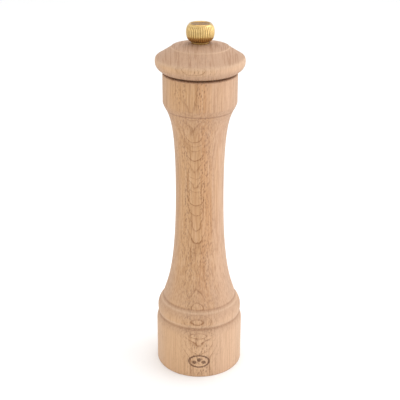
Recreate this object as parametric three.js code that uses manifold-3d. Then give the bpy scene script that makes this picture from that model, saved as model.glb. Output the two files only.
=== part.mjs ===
// A turned beech pepper mill, 220 mm tall, with a brass adjusting knob and a steel grinding mechanism.
//
// Units are millimetres. The mill stands on z = 0, its axis is Z and its front faces -Y.
// The barrel is the fixed piece. The head turns on it and drives a square spindle, which carries the
// grinding nut at the foot of the mill. The knob is threaded on the spindle's top end: it pulls the nut
// up into the grinding ring for a fine grind, and a spring pushes the nut down for a coarse one.
// Everything is drawn in the finest setting, with the knob screwed right down on the head.

import * as THREE from "three";
import { mergeVertices } from "three/addons/utils/BufferGeometryUtils.js";
import Module from "manifold-3d";

const wasm = await Module();
wasm.setup();

// ---------------------------------------------------------------- clearances
const SEAT = 0.05; // between two faces that rest on each other
const PASS = 0.3; // all round a piece that passes through a bored hole
const SQUARE_FIT = 0.1; // on each side of the square spindle in a hole that it drives
const THREAD_FIT = 0.1; // round a thread or a screw's shank in its hole
const GRIND_GAP = 0.35; // between the tooth tips of nut and ring, at the finest setting

// ---------------------------------------------------------------- barrel, from the table up
const BASE_RADIUS = 27.2;
const BASE_HEIGHT = 28.9; // straight part of the base
const BASE_EDGE = 0.35; // rounding where the base meets the table
const GROOVE_DEPTH = 1.7;
const SHOULDER_HEIGHT = 5.5; // rounded shoulder, from the straight part to the bottom of the groove
const BEAD_SET_BACK = 0.8; // how far the bead stays inside the base
const BEAD_BELLY = 4; // widest place of the bead, above the bottom of the groove
const BEAD_HEIGHT = 11.8; // from the bottom of the groove to the foot of the neck
const NECK_FOOT_RADIUS = 22.75;
const NECK_SWEEP_LOW = 6.8; // how upright the neck starts above the bead
const NECK_SWEEP_HIGH = 5.5; // how upright it ends under the collar
const WAIST_RADIUS = 14.6;
const WAIST_Z = 120;
const NECK_TOP_RADIUS = 20;
const COLLAR_STEP = 0.35; // the small sharp ridge under the collar
const COLLAR_HEIGHT = 3.7;
const BAND_RADIUS = 21.9;
const BAND_HEIGHT = 17.1;
const BARREL_HEIGHT = 191.4;
const BARREL_EDGE = 0.5;
const CHAMBER_RADIUS = 10.5; // bore that holds the peppercorns

// ---------------------------------------------------------------- head
const TENON_RADIUS = 15;
const TENON_LENGTH = 8.8;
const TENON_EDGE = 0.4;
const TENON_ROOM = 4.6; // depth of the tenon bore under the tenon, for the drive plate
const SHOULDER_WIDTH = 3.5; // ring round the tenon on which the head turns
const SEAM_GAP = 1.05; // open shadow gap outside that ring
const HEAD_RADIUS = 26.1;
const HEAD_HEIGHT = 17.5; // from the barrel's top face to the knob's seat
const HEAD_FOOT_RADIUS = 22.6;
const RIM_Z = 7.3; // widest place of the head, above the barrel's top face
const RIM_UNDERCUT = 1.5; // the straight bevel under the rim ends this far inside it
const RIDGE_RADIUS = 16.8; // small step between the sloping rim and the flat cone on top
const RIDGE_Z = 15;
const RIDGE_STEP = 0.4;

// ---------------------------------------------------------------- knob
const KNOB_RADIUS = 8.15;
const KNOB_HEIGHT = 11.05;
const KNOB_BELLY = 5.9; // widest place of the knob, above its foot
const KNOB_FOOT_RADIUS = 5.3;
const KNOB_FOOT_HEIGHT = 0.8;
const KNOB_RIM_RADIUS = 6.1;
const KNOB_DISH_RADIUS = 5.2;
const KNOB_DISH_DEPTH = 0.45;
const KNOB_TOP_WALL = 2.6; // brass left over the blind hole
const FLUTES = 38;
const FLUTE_DEPTH = 0.3;

// ---------------------------------------------------------------- spindle
const SPINDLE_SIDE = 5;
const THREAD_START_DROP = 5; // the thread begins this far under the knob's seat
const THREAD_END_AIR = 0.8; // left over the spindle's end in the blind hole
const SPIGOT_LENGTH = 1.9; // round end below the grinding nut
const CLIP_GROOVE_DEPTH = 0.6;
const CLIP_THICKNESS = 0.6;
const CLIP_RADIUS = 4;

// ---------------------------------------------------------------- grinding mechanism, from below
const PLATE_BOTTOM = 1.8; // the base plate lies this far above the table
const PLATE_THICKNESS = 1.2;
const RING_RADIUS = 12.6;
const RING_HEIGHT = 12;
const RING_WALL = 1.7;
const FLANGE_THICKNESS = 2;
const GRIND_HEIGHT = 5.2; // height of the cutting face at the foot of the ring
const GRIND_SLOPE = 0.44; // how much that cone narrows for each millimetre up
const NUT_LIFT = 1.2; // the nut's lower face above the ring's
const NUT_HEIGHT = 11;
const NUT_HUB_WALL = 1.8;
const NUT_TEETH = 12;
const RING_TEETH = 14;
const FINE_TOOTH = 0.5;
const COARSE_TOOTH = 1.1;
const TEETH_TURN = Math.PI / 4; // spiral of the teeth over the height of nut or ring
const STRAP_WEB = 1.6; // metal on each side of the spindle's hole in the crossbar
const STRAP_THICKNESS = 1.2;
const STRAP_FOOT = 3; // length of each turned-out foot
const BRIDGE_RISE = 21; // underside of the crossbar above the feet's underside
const BRIDGE_HEADROOM = 2.6;
const WASHER_THICKNESS = 1;
const WASHER_WIDTH = 2.9; // from the spindle's corner to the washer's rim
const WIRE_RADIUS = 0.55;
const SPRING_TURNS = 4.5;

// ---------------------------------------------------------------- fasteners
const RIVET_RADIUS = 0.8;
const RIVET_HEAD_RADIUS = 1.25;
const RIVET_HEAD = 0.7;
const SCREW_RADIUS = 1.1;
const SCREW_HEAD_RADIUS = 2;
const SCREW_HEAD = 0.9;
const SCREW_LENGTH = 7;
const SCREW_WALL = 1.2; // wood between a screw and the bore beside it
const SCREW_EDGE = 2.4; // from a screw's axis to the edge of its plate
const SCREW_COUNT = 3;
const DRIVE_PLATE_MARGIN = 3; // the drive plate stays this far inside the tenon
const DRIVE_PLATE_THICKNESS = 1.2;

// ---------------------------------------------------------------- roundness
const SIDES = 40; // of large turned pieces
const SMALL_SIDES = 16; // of screws, rivets and their holes
const CURVE_STEPS = 5;

// ---------------------------------------------------------------- places worked out from the above
const headSeat = BARREL_HEIGHT + SEAT;
const knobSeat = BARREL_HEIGHT + HEAD_HEIGHT;
const knobBottom = knobSeat + SEAT;
const tenonBottom = headSeat - TENON_LENGTH;
const tenonBoreBottom = tenonBottom - TENON_ROOM;
const spindleCorner = SPINDLE_SIDE / Math.SQRT2;
const boreRadius = spindleCorner + PASS;
const threadRadius = SPINDLE_SIDE / 2 - 0.05;
const spigotRadius = SPINDLE_SIDE / 2 - 0.2;
const clipGrooveRadius = spigotRadius - CLIP_GROOVE_DEPTH;
const plateTop = PLATE_BOTTOM + PLATE_THICKNESS;
const ringBottom = plateTop + SEAT;
const ringTop = ringBottom + RING_HEIGHT;
const outletRadius = RING_RADIUS - RING_WALL;
const nutBottom = ringBottom + NUT_LIFT;
const nutTop = nutBottom + NUT_HEIGHT;
const clipTop = nutBottom - SEAT;
const clipBottom = clipTop - CLIP_THICKNESS;
const footBottom = ringBottom + FLANGE_THICKNESS + SEAT;
const footTop = footBottom + STRAP_THICKNESS;
const legInside = RING_RADIUS + PASS;
const legOutside = legInside + STRAP_THICKNESS;
const footEnd = legOutside + STRAP_FOOT;
const flangeRadius = footEnd - PASS;
const crossbarBottom = footBottom + BRIDGE_RISE;
const crossbarTop = crossbarBottom + STRAP_THICKNESS;
const bearingRadius = spindleCorner + SQUARE_FIT;
const strapWidth = 2 * (bearingRadius + STRAP_WEB);
const mechanismRadius = Math.hypot(footEnd, strapWidth / 2) + PASS;
const mechanismTop = crossbarTop + BRIDGE_HEADROOM;
const plateScrewCircle = mechanismRadius + SCREW_WALL + SCREW_RADIUS;
const plateRadius = plateScrewCircle + SCREW_EDGE;
const drivePlateRadius = TENON_RADIUS - DRIVE_PLATE_MARGIN;
const drivePlateTop = tenonBottom - SEAT;
const drivePlateBottom = drivePlateTop - DRIVE_PLATE_THICKNESS;
const driveScrewCircle = drivePlateRadius - SCREW_EDGE;
const rivetX = (legOutside + footEnd) / 2;
const washerRadius = spindleCorner + WASHER_WIDTH;
const screwAngles = Array.from(
  { length: SCREW_COUNT },
  (_, i) => Math.PI / 2 + (i * 2 * Math.PI) / SCREW_COUNT,
);

// ---------------------------------------------------------------- making and cutting solids

// Turns an outline of radius and height about Z. The outline runs up its outer side.
function turned(outline, sides = SIDES) {
  return new THREE.LatheGeometry(outline.getPoints(CURVE_STEPS), sides).rotateX(Math.PI / 2);
}

// A plain disc or bar of round section between two heights.
function roundBar(radius, bottom, top, sides = SMALL_SIDES, x = 0, y = 0) {
  const outline = new THREE.Path([
    new THREE.Vector2(0, bottom),
    new THREE.Vector2(radius, bottom),
    new THREE.Vector2(radius, top),
    new THREE.Vector2(0, top),
  ]);
  return turned(outline, sides).translate(x, y, 0);
}

function squareBar(side, bottom, top) {
  return new THREE.BoxGeometry(side, side, top - bottom).translate(0, 0, (bottom + top) / 2);
}

function toSolid(geometry) {
  const bare = geometry.index ? geometry.toNonIndexed() : geometry.clone();
  bare.deleteAttribute("normal");
  bare.deleteAttribute("uv");
  const merged = mergeVertices(bare, 1e-4);
  const vertProperties = new Float32Array(merged.attributes.position.array);
  const triVerts = new Uint32Array(merged.index.array);
  return new wasm.Manifold(new wasm.Mesh({ numProp: 3, vertProperties, triVerts }));
}

function toGeometry(solid) {
  const { vertProperties, triVerts } = solid.getMesh();
  const geometry = new THREE.BufferGeometry();
  geometry.setAttribute("position", new THREE.BufferAttribute(new Float32Array(vertProperties), 3));
  geometry.setIndex(new THREE.BufferAttribute(new Uint32Array(triVerts), 1));
  return geometry;
}

function cut(geometry, ...cutters) {
  return toGeometry(cutters.reduce((solid, cutter) => solid.subtract(toSolid(cutter)), toSolid(geometry)));
}

function join(...geometries) {
  return toGeometry(geometries.map(toSolid).reduce((a, b) => a.add(b)));
}

// Moves the columns of a turned piece in by a repeated pattern of shares of depthAt(z), and turns each
// height by twistAt(z), which makes flutes, or teeth that run in a spiral.
function patterned(geometry, sides, pattern, depthAt, twistAt = () => 0) {
  const points = geometry.attributes.position;
  for (let i = 0; i < points.count; i += 1) {
    const radius = Math.hypot(points.getX(i), points.getY(i));
    if (radius < 1e-6) continue;
    const z = points.getZ(i);
    const angle = Math.atan2(points.getY(i), points.getX(i));
    const column = Math.round((angle / (2 * Math.PI)) * sides) + sides;
    const moved = radius - pattern[column % pattern.length] * depthAt(z);
    const turn = angle + twistAt(z);
    points.setXYZ(i, moved * Math.cos(turn), moved * Math.sin(turn), z);
  }
  return geometry;
}

// ---------------------------------------------------------------- wooden pieces

function barrelGeometry() {
  const grooveZ = BASE_HEIGHT + SHOULDER_HEIGHT;
  const grooveRadius = BASE_RADIUS - GROOVE_DEPTH;
  const beadRadius = BASE_RADIUS - BEAD_SET_BACK;
  const bellyZ = grooveZ + BEAD_BELLY;
  const neckFootZ = grooveZ + BEAD_HEIGHT;
  const bandZ = BARREL_HEIGHT - BAND_HEIGHT;
  const neckTopZ = bandZ - COLLAR_HEIGHT - COLLAR_STEP;
  const tenonBore = TENON_RADIUS + PASS;
  const recess = plateRadius + PASS;
  const outline = new THREE.Path();
  outline.moveTo(BASE_RADIUS - BASE_EDGE, 0);
  outline.quadraticCurveTo(BASE_RADIUS, 0, BASE_RADIUS, BASE_EDGE);
  outline.lineTo(BASE_RADIUS, BASE_HEIGHT);
  outline.quadraticCurveTo(BASE_RADIUS, grooveZ - 3, grooveRadius, grooveZ);
  outline.quadraticCurveTo(beadRadius, grooveZ + 1, beadRadius, bellyZ);
  outline.quadraticCurveTo(beadRadius, bellyZ + 4, NECK_FOOT_RADIUS, neckFootZ);
  outline.bezierCurveTo(
    NECK_FOOT_RADIUS - 0.5, neckFootZ + NECK_SWEEP_LOW,
    WAIST_RADIUS, neckFootZ + 1.8 * NECK_SWEEP_LOW,
    WAIST_RADIUS, WAIST_Z,
  );
  outline.bezierCurveTo(
    WAIST_RADIUS, WAIST_Z + 0.8 * (neckTopZ - WAIST_Z),
    NECK_TOP_RADIUS - 0.4 * NECK_SWEEP_HIGH, neckTopZ - NECK_SWEEP_HIGH,
    NECK_TOP_RADIUS, neckTopZ,
  );
  outline.lineTo(NECK_TOP_RADIUS + COLLAR_STEP, neckTopZ + COLLAR_STEP);
  outline.quadraticCurveTo(BAND_RADIUS - 0.4, bandZ - 1.6, BAND_RADIUS, bandZ);
  outline.lineTo(BAND_RADIUS, BARREL_HEIGHT - BARREL_EDGE);
  outline.lineTo(BAND_RADIUS - BARREL_EDGE, BARREL_HEIGHT);
  outline.lineTo(tenonBore, BARREL_HEIGHT);
  outline.lineTo(tenonBore, tenonBoreBottom);
  outline.lineTo(CHAMBER_RADIUS, tenonBoreBottom);
  outline.lineTo(CHAMBER_RADIUS, mechanismTop);
  outline.lineTo(mechanismRadius, mechanismTop);
  outline.lineTo(mechanismRadius, ringBottom);
  outline.lineTo(recess, ringBottom);
  outline.lineTo(recess, 0);
  outline.closePath();
  return cut(turned(outline), ...screwHoles(plateScrewCircle, ringBottom, PLATE_THICKNESS));
}

function headGeometry() {
  const seamZ = BARREL_HEIGHT + SEAM_GAP;
  const rimZ = BARREL_HEIGHT + RIM_Z;
  const ridgeZ = BARREL_HEIGHT + RIDGE_Z;
  const shoulderRadius = TENON_RADIUS + SHOULDER_WIDTH;
  const undercutZ = (seamZ + rimZ) / 2 - 1;
  const slopeRadius = HEAD_RADIUS - 2.6; // the rim's round top runs into its slope here
  const outline = new THREE.Path();
  outline.moveTo(boreRadius, tenonBottom);
  outline.lineTo(TENON_RADIUS - TENON_EDGE, tenonBottom);
  outline.lineTo(TENON_RADIUS, tenonBottom + TENON_EDGE);
  outline.lineTo(TENON_RADIUS, headSeat);
  outline.lineTo(shoulderRadius, headSeat);
  outline.lineTo(shoulderRadius, seamZ);
  outline.lineTo(HEAD_FOOT_RADIUS, seamZ + 0.5);
  outline.lineTo(HEAD_RADIUS - RIM_UNDERCUT, undercutZ);
  outline.bezierCurveTo(
    HEAD_RADIUS - 0.2, undercutZ + RIM_UNDERCUT,
    HEAD_RADIUS, rimZ - 1.6,
    HEAD_RADIUS, rimZ,
  );
  outline.bezierCurveTo(
    HEAD_RADIUS, rimZ + 2.6,
    HEAD_RADIUS - 1.2, rimZ + 2.4,
    slopeRadius, rimZ + 3.4,
  );
  outline.quadraticCurveTo(HEAD_RADIUS - 6, rimZ + 5.5, RIDGE_RADIUS, ridgeZ);
  outline.lineTo(RIDGE_RADIUS - RIDGE_STEP / 2, ridgeZ + RIDGE_STEP);
  outline.lineTo(KNOB_FOOT_RADIUS + PASS, knobSeat);
  outline.lineTo(boreRadius, knobSeat);
  outline.closePath();
  return cut(turned(outline), ...screwHoles(driveScrewCircle, tenonBottom, DRIVE_PLATE_THICKNESS));
}

// Pilot holes for the screws that go up into the wood from a face at the given height.
function screwHoles(circle, bottom, plateThickness) {
  const depth = SCREW_LENGTH - plateThickness + THREAD_FIT;
  return screwAngles.map((angle) =>
    roundBar(
      SCREW_RADIUS + THREAD_FIT, bottom - 1, bottom + depth, SMALL_SIDES,
      circle * Math.cos(angle), circle * Math.sin(angle),
    ),
  );
}

// ---------------------------------------------------------------- knob and spindle

const blindHoleTop = knobBottom + KNOB_HEIGHT - KNOB_TOP_WALL;
const spindleTop = blindHoleTop - THREAD_END_AIR;

function knobGeometry() {
  const sides = FLUTES * 2;
  const top = knobBottom + KNOB_HEIGHT;
  const dishZ = top - KNOB_DISH_DEPTH;
  const footZ = knobBottom + KNOB_FOOT_HEIGHT;
  const bellyZ = knobBottom + KNOB_BELLY;
  const outline = new THREE.Path();
  outline.moveTo(0, knobBottom);
  outline.lineTo(KNOB_FOOT_RADIUS, knobBottom);
  outline.lineTo(KNOB_FOOT_RADIUS, footZ);
  outline.bezierCurveTo(
    KNOB_RADIUS - 0.3, footZ + 0.8,
    KNOB_RADIUS, bellyZ - 1.2,
    KNOB_RADIUS, bellyZ,
  );
  outline.bezierCurveTo(
    KNOB_RADIUS, bellyZ + 2.4,
    KNOB_RADIUS - 0.4, top - 1.6,
    KNOB_RIM_RADIUS + 0.3, top - 0.15,
  );
  outline.lineTo(KNOB_RIM_RADIUS, top);
  outline.lineTo(KNOB_DISH_RADIUS, dishZ);
  outline.lineTo(0, dishZ);
  const flutedFrom = footZ + 0.4;
  const flutedTo = top - 1.7;
  const depthAt = (z) => (z > flutedFrom && z < flutedTo ? FLUTE_DEPTH : 0);
  const fluted = patterned(turned(outline, sides), sides, [0, 1], depthAt);
  return cut(fluted, roundBar(threadRadius + THREAD_FIT, knobBottom - 1, blindHoleTop));
}

function spindleGeometry() {
  const threadStart = knobSeat - THREAD_START_DROP;
  const spigotBottom = nutBottom - SPIGOT_LENGTH;
  const grooveBottom = clipBottom - SEAT;
  const thread = new THREE.Path([
    new THREE.Vector2(0, threadStart - 1),
    new THREE.Vector2(threadRadius, threadStart - 1),
    new THREE.Vector2(threadRadius, spindleTop - 0.5),
    new THREE.Vector2(threadRadius - 0.5, spindleTop),
    new THREE.Vector2(0, spindleTop),
  ]);
  const spigot = new THREE.Path([
    new THREE.Vector2(0, spigotBottom),
    new THREE.Vector2(spigotRadius - 0.3, spigotBottom),
    new THREE.Vector2(spigotRadius, spigotBottom + 0.3),
    new THREE.Vector2(spigotRadius, grooveBottom),
    new THREE.Vector2(clipGrooveRadius, grooveBottom),
    new THREE.Vector2(clipGrooveRadius, nutBottom + 1),
    new THREE.Vector2(0, nutBottom + 1),
  ]);
  return join(
    squareBar(SPINDLE_SIDE, nutBottom, threadStart),
    turned(thread, SMALL_SIDES),
    turned(spigot, SMALL_SIDES),
  );
}

// ---------------------------------------------------------------- grinding pieces

// Radius of the ring's tooth tips at height z: a cutting cone that narrows upwards, and a feed throat
// that opens again above it.
function ringRadiusAt(z) {
  const height = z - ringBottom;
  const pinch = outletRadius - GRIND_SLOPE * GRIND_HEIGHT;
  if (height < GRIND_HEIGHT) return outletRadius - GRIND_SLOPE * height;
  const throat = (height - GRIND_HEIGHT) / (RING_HEIGHT - GRIND_HEIGHT);
  return pinch + (outletRadius + 0.3 - pinch) * Math.sqrt(throat);
}

// Radius of the nut's tooth tips: parallel to the ring in the cutting zone, then a slimmer cone.
function nutRadiusAt(z) {
  const pinchZ = ringBottom + GRIND_HEIGHT;
  const hub = spindleCorner + SQUARE_FIT + NUT_HUB_WALL;
  if (z < pinchZ) return ringRadiusAt(z) - GRIND_GAP;
  const share = (z - pinchZ) / (nutTop - pinchZ);
  return THREE.MathUtils.lerp(ringRadiusAt(pinchZ) - GRIND_GAP, hub, share);
}

// Teeth are shallow in the cutting zone and deep above it, where they draw the peppercorns in.
function toothDepth(z) {
  const share = THREE.MathUtils.clamp((z - ringBottom) / RING_HEIGHT, 0, 1);
  return THREE.MathUtils.lerp(FINE_TOOTH, COARSE_TOOTH, share);
}

function spiral(z) {
  return ((z - ringBottom) / RING_HEIGHT) * TEETH_TURN;
}

// Outline of a toothed core from the axis to the given radius at each height and back to the axis.
function coreOutline(heights, radiusAt) {
  const outline = new THREE.Path();
  outline.moveTo(0, heights[0]);
  heights.forEach((z) => outline.lineTo(radiusAt(z), z));
  outline.lineTo(0, heights[heights.length - 1]);
  return outline;
}

const SAW_TOOTH = [0, 1, 0.66, 0.33];

function nutGeometry() {
  const sides = NUT_TEETH * SAW_TOOTH.length;
  const pinchZ = ringBottom + GRIND_HEIGHT;
  const heights = [nutBottom, (nutBottom + pinchZ) / 2, pinchZ];
  for (let step = 1; step <= 4; step += 1) heights.push(pinchZ + ((nutTop - pinchZ) * step) / 4);
  const core = turned(coreOutline(heights, nutRadiusAt), sides);
  const toothed = patterned(core, sides, SAW_TOOTH, toothDepth, spiral);
  return cut(toothed, squareBar(SPINDLE_SIDE + 2 * SQUARE_FIT, nutBottom - 1, nutTop + 1));
}

function ringGeometry() {
  const sides = RING_TEETH * SAW_TOOTH.length;
  const blank = new THREE.Path([
    new THREE.Vector2(0, ringBottom),
    new THREE.Vector2(flangeRadius, ringBottom),
    new THREE.Vector2(flangeRadius, ringBottom + FLANGE_THICKNESS),
    new THREE.Vector2(RING_RADIUS, ringBottom + FLANGE_THICKNESS),
    new THREE.Vector2(RING_RADIUS, ringTop - 0.4),
    new THREE.Vector2(RING_RADIUS - 0.4, ringTop),
    new THREE.Vector2(0, ringTop),
  ]);
  const pinchZ = ringBottom + GRIND_HEIGHT;
  const heights = [ringBottom - 0.5, ringBottom, pinchZ - 2, pinchZ];
  for (let step = 1; step <= 4; step += 1) heights.push(pinchZ + ((ringTop - pinchZ) * step) / 4);
  const core = turned(coreOutline(heights, (z) => ringRadiusAt(Math.max(z, ringBottom))), sides);
  const outward = (z) => -Math.min(toothDepth(z), RING_WALL / 3);
  const cavity = patterned(core, sides, SAW_TOOTH, outward, (z) => -spiral(z));
  const lid = roundBar(outletRadius, ringTop - 0.2, ringTop + 1, sides);
  return cut(turned(blank), cavity, lid, ...rivetHoles(ringBottom, ringBottom + FLANGE_THICKNESS));
}

function rivetHoles(bottom, top) {
  const radius = RIVET_RADIUS + THREAD_FIT;
  return [-rivetX, rivetX].map((x) => roundBar(radius, bottom - 1, top + 1, SMALL_SIDES, x));
}

// ---------------------------------------------------------------- sheet metal

function circlePoints(x, y, radius, sides) {
  return Array.from({ length: sides }, (_, i) => {
    const angle = (i * 2 * Math.PI) / sides;
    return new THREE.Vector2(x + radius * Math.cos(angle), y + radius * Math.sin(angle));
  });
}

function squarePoints(side) {
  const half = side / 2;
  const corners = [[-half, -half], [half, -half], [half, half], [-half, half]];
  return corners.map(([x, y]) => new THREE.Vector2(x, y));
}

// A flat disc with holes, each given by its points.
function discPlate(radius, bottom, thickness, holes) {
  const shape = new THREE.Shape(circlePoints(0, 0, radius, SIDES));
  shape.holes = holes.map((points) => new THREE.Path(points));
  return new THREE.ExtrudeGeometry(shape, { depth: thickness, bevelEnabled: false }).translate(0, 0, bottom);
}

function screwCircle(circle) {
  return screwAngles.map((angle) =>
    circlePoints(
      circle * Math.cos(angle), circle * Math.sin(angle), SCREW_RADIUS + THREAD_FIT, SMALL_SIDES,
    ),
  );
}

function basePlateGeometry() {
  const outlet = circlePoints(0, 0, outletRadius + FINE_TOOTH, SIDES);
  const rivets = [-rivetX, rivetX].map((x) => circlePoints(x, 0, RIVET_RADIUS + THREAD_FIT, SMALL_SIDES));
  const holes = [outlet, ...rivets, ...screwCircle(plateScrewCircle)];
  return discPlate(plateRadius, PLATE_BOTTOM, PLATE_THICKNESS, holes);
}

function drivePlateGeometry() {
  const drive = squarePoints(SPINDLE_SIDE + 2 * SQUARE_FIT);
  const holes = [drive, ...screwCircle(driveScrewCircle)];
  return discPlate(drivePlateRadius, drivePlateBottom, DRIVE_PLATE_THICKNESS, holes);
}

// The U-shaped strap over the ring: the spindle turns in the hole of its crossbar, and the spring
// pushes against that crossbar from below.
function bridgeGeometry() {
  const corners = [
    [-footEnd, footBottom],
    [-legInside, footBottom],
    [-legInside, crossbarBottom],
    [legInside, crossbarBottom],
    [legInside, footBottom],
    [footEnd, footBottom],
    [footEnd, footTop],
    [legOutside, footTop],
    [legOutside, crossbarTop - 1],
    [legOutside - 1, crossbarTop],
    [1 - legOutside, crossbarTop],
    [-legOutside, crossbarTop - 1],
    [-legOutside, footTop],
    [-footEnd, footTop],
  ];
  const strap = new THREE.Shape(corners.map(([x, z]) => new THREE.Vector2(x, z)));
  const geometry = new THREE.ExtrudeGeometry(strap, { depth: strapWidth, bevelEnabled: false });
  geometry.translate(0, 0, -strapWidth / 2).rotateX(Math.PI / 2);
  return cut(
    geometry,
    roundBar(bearingRadius, crossbarBottom - 1, crossbarTop + 1, 24),
    ...rivetHoles(footBottom, footTop),
  );
}

// ---------------------------------------------------------------- spring, washers and clip

const lowerWasherBottom = nutTop + SEAT;
const springBottom = lowerWasherBottom + WASHER_THICKNESS + SEAT;
const upperWasherBottom = crossbarBottom - SEAT - WASHER_THICKNESS;
const springTop = upperWasherBottom - SEAT;

class Helix extends THREE.Curve {
  constructor(radius, bottom, top, turns) {
    super();
    Object.assign(this, { radius, bottom, top, turns });
  }

  getPoint(t, target = new THREE.Vector3()) {
    const angle = 2 * Math.PI * this.turns * t;
    const z = THREE.MathUtils.lerp(this.bottom, this.top, t);
    return target.set(this.radius * Math.cos(angle), this.radius * Math.sin(angle), z);
  }
}

function springGeometry() {
  const air = WIRE_RADIUS + SEAT;
  const path = new Helix(washerRadius - WIRE_RADIUS - 0.7, springBottom + air, springTop - air, SPRING_TURNS);
  const wire = new THREE.Shape(circlePoints(0, 0, WIRE_RADIUS, 8));
  const steps = Math.round(SPRING_TURNS * 12);
  return new THREE.ExtrudeGeometry(wire, { steps, extrudePath: path });
}

function clipGeometry() {
  const inner = clipGrooveRadius + THREAD_FIT;
  const mouth = 0.45; // half the angle of the clip's open mouth
  const shape = new THREE.Shape();
  shape.absarc(0, 0, CLIP_RADIUS, mouth, 2 * Math.PI - mouth, false);
  shape.absarc(0, 0, inner, 2 * Math.PI - mouth, mouth, true);
  const options = { depth: CLIP_THICKNESS, bevelEnabled: false, curveSegments: 12 };
  return new THREE.ExtrudeGeometry(shape, options).translate(0, 0, clipBottom);
}

// ---------------------------------------------------------------- fasteners

// A round-headed wood screw that points up, with its head's bearing face at z = 0 and a cross recess.
function screwGeometry() {
  const outline = new THREE.Path();
  outline.moveTo(0, -SCREW_HEAD);
  outline.lineTo(SCREW_HEAD_RADIUS - 0.4, -SCREW_HEAD);
  outline.lineTo(SCREW_HEAD_RADIUS, -SCREW_HEAD / 2);
  outline.lineTo(SCREW_HEAD_RADIUS, 0);
  outline.lineTo(SCREW_RADIUS, 0);
  outline.lineTo(SCREW_RADIUS, SCREW_LENGTH - 2);
  outline.lineTo(0, SCREW_LENGTH - THREAD_FIT);
  const slotDepth = SCREW_HEAD * 0.6;
  const slot = (x, y) => new THREE.BoxGeometry(x, y, 2 * slotDepth).translate(0, 0, -SCREW_HEAD);
  return cut(turned(outline, SMALL_SIDES), slot(2.2, 0.5), slot(0.5, 2.2));
}

// A rivet through foot, flange and plate, with a flat head at each end.
function rivetGeometry() {
  const bottom = PLATE_BOTTOM - SEAT;
  const top = footTop + SEAT;
  const outline = new THREE.Path();
  outline.moveTo(0, bottom - RIVET_HEAD);
  outline.lineTo(RIVET_HEAD_RADIUS - 0.3, bottom - RIVET_HEAD);
  outline.lineTo(RIVET_HEAD_RADIUS, bottom - RIVET_HEAD / 2);
  outline.lineTo(RIVET_HEAD_RADIUS, bottom);
  outline.lineTo(RIVET_RADIUS, bottom);
  outline.lineTo(RIVET_RADIUS, top);
  outline.lineTo(RIVET_HEAD_RADIUS, top);
  outline.lineTo(RIVET_HEAD_RADIUS, top + RIVET_HEAD / 2);
  outline.lineTo(RIVET_HEAD_RADIUS - 0.3, top + RIVET_HEAD);
  outline.lineTo(0, top + RIVET_HEAD);
  return turned(outline, SMALL_SIDES);
}

// ---------------------------------------------------------------- finishes

function finish(color, roughness, metalness) {
  return new THREE.MeshStandardMaterial({ color, roughness, metalness });
}

const beech = finish(0xd8ac7c, 0.6, 0);
const brass = finish(0xb98f4b, 0.3, 1);
const brightSteel = finish(0xb9bbbd, 0.35, 1);
const hardSteel = finish(0x85888c, 0.45, 1);
const springSteel = finish(0x9a9ca0, 0.3, 1);
const zincSteel = finish(0xc4c6c4, 0.35, 1);

// ---------------------------------------------------------------- the mill

// The groups follow the way the pieces carry one another: the drive turns in the barrel and carries the
// spindle and the head, and the head carries the knob.
const mill = new THREE.Group();
const drive = new THREE.Group();
const spindleGroup = new THREE.Group();
const headGroup = new THREE.Group();
mill.add(drive);
drive.add(spindleGroup, headGroup);

function place(parent, name, geometry, material) {
  const mesh = new THREE.Mesh(geometry, material);
  mesh.name = name;
  parent.add(mesh);
  return mesh;
}

// A ring of screws whose heads bear on a plate's lower face.
function placeScrews(parent, name, circle, bearing) {
  screwAngles.forEach((angle, i) => {
    const screw = place(parent, `${name}_${i + 1}`, screwGeometry(), zincSteel);
    screw.position.set(circle * Math.cos(angle), circle * Math.sin(angle), bearing - SEAT);
  });
}

function washerGeometry(bottom) {
  return discPlate(washerRadius, bottom, WASHER_THICKNESS, [squarePoints(SPINDLE_SIDE + 2 * SQUARE_FIT)]);
}

place(mill, "barrel", barrelGeometry(), beech);
place(mill, "grinding_ring", ringGeometry(), hardSteel);
place(mill, "base_plate", basePlateGeometry(), brightSteel);
place(mill, "bearing_bridge", bridgeGeometry(), brightSteel);
place(mill, "bridge_rivet_left", rivetGeometry(), zincSteel).position.x = -rivetX;
place(mill, "bridge_rivet_right", rivetGeometry(), zincSteel).position.x = rivetX;
placeScrews(mill, "base_plate_screw", plateScrewCircle, PLATE_BOTTOM);

place(drive, "upper_spring_washer", washerGeometry(upperWasherBottom), zincSteel);
place(drive, "setting_spring", springGeometry(), springSteel);

place(spindleGroup, "spindle", spindleGeometry(), brightSteel);
place(spindleGroup, "grinding_nut", nutGeometry(), hardSteel);
place(spindleGroup, "lower_spring_washer", washerGeometry(lowerWasherBottom), zincSteel);
place(spindleGroup, "nut_clip", clipGeometry(), springSteel);

place(headGroup, "head", headGeometry(), beech);
place(headGroup, "drive_plate", drivePlateGeometry(), brightSteel);
placeScrews(headGroup, "drive_plate_screw", driveScrewCircle, drivePlateBottom);
place(headGroup, "knob", knobGeometry(), brass);

export default mill;
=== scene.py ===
# %% [markdown]
# # A turned beech pepper mill
# The mill is 220 mm tall: a waisted beech barrel, a flat beech head that turns on it, a fluted brass
# knob, and a steel mechanism on a square spindle. The imported model is loaded first. Every piece made
# below takes the place of one of its nodes, and all but the spring ride on the same body, so the mill
# still moves.

# %% Load the imported model
import math

import bmesh
import bpy
from mathutils import Matrix, Vector
from mathutils.geometry import interpolate_bezier


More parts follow.
